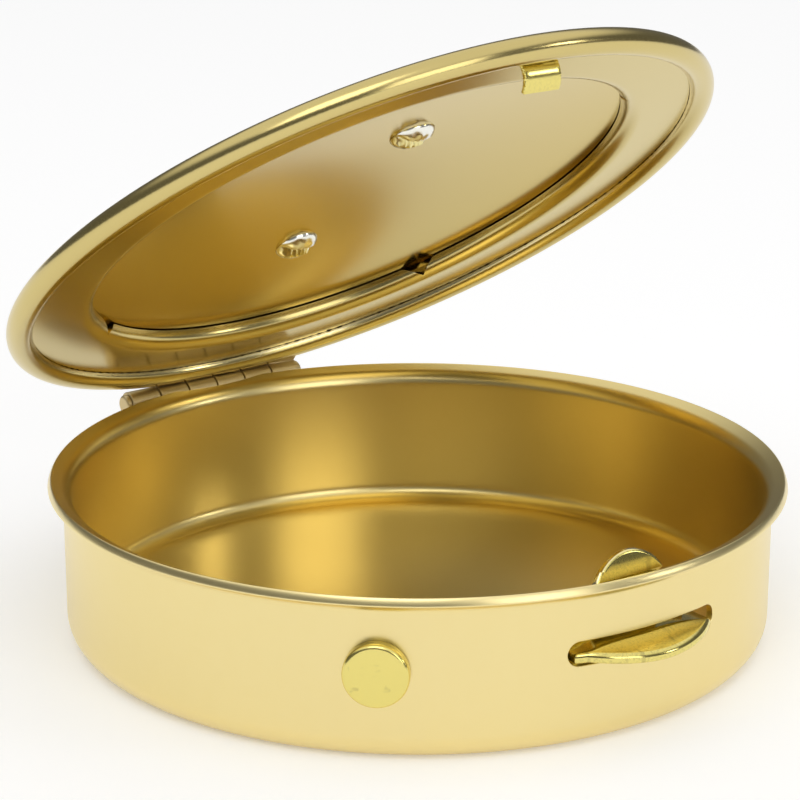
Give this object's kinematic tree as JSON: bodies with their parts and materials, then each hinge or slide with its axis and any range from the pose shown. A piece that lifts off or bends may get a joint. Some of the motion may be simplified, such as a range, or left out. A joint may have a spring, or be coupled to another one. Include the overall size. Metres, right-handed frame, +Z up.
{
  "type": "pyx",
  "caption": "Small round gilt box with a hinged lid, a sprung push latch and a plain cross on the lid, used to carry communion hosts.",
  "frame": {"origin": "middle of the pan's flat underside, where the box stands on a table", "axes": "+Z up, +Y towards the hinge, -Y towards the latch, +X to the right seen from the latch"},
  "size_m": [0.0532, 0.0547, 0.0442],
  "materials": {
    "satin_gold": "satin gilt",
    "hinge_brass": "satin",
    "bright_brass": "polished",
    "emblem_gold": "polished gilt"
  },
  "bodies": {
    "base": {"base_pan": "satin_gold", "base_hinge": "hinge_brass", "hinge_pin": "hinge_brass", "latch_foot": "bright_brass", "latch_rivet": "bright_brass"},
    "lid": {"lid_hinge": "hinge_brass", "lid_ring": "satin_gold", "medallion_plate": "satin_gold", "emblem": "emblem_gold", "emblem_rivets": "bright_brass", "lid_catch": "bright_brass"},
    "latch": {"latch_arm": "bright_brass"}
  },
  "joints": [
    {"name": "lid_hinge", "type": "hinge", "parent": "base", "child": "lid", "pos_m": [0, 0.02635, 0.01096], "axis": [-1, 0, 0], "range_deg": [-36.8, 75]},
    {"name": "push_tab", "type": "hinge", "parent": "base", "child": "latch", "pos_m": [-0.01404, -0.01961, 0.0062], "axis": [0, 0, 1], "range_deg": [0, 4.5], "stiffness_Nm_per_rad": 0.6}
  ]
}
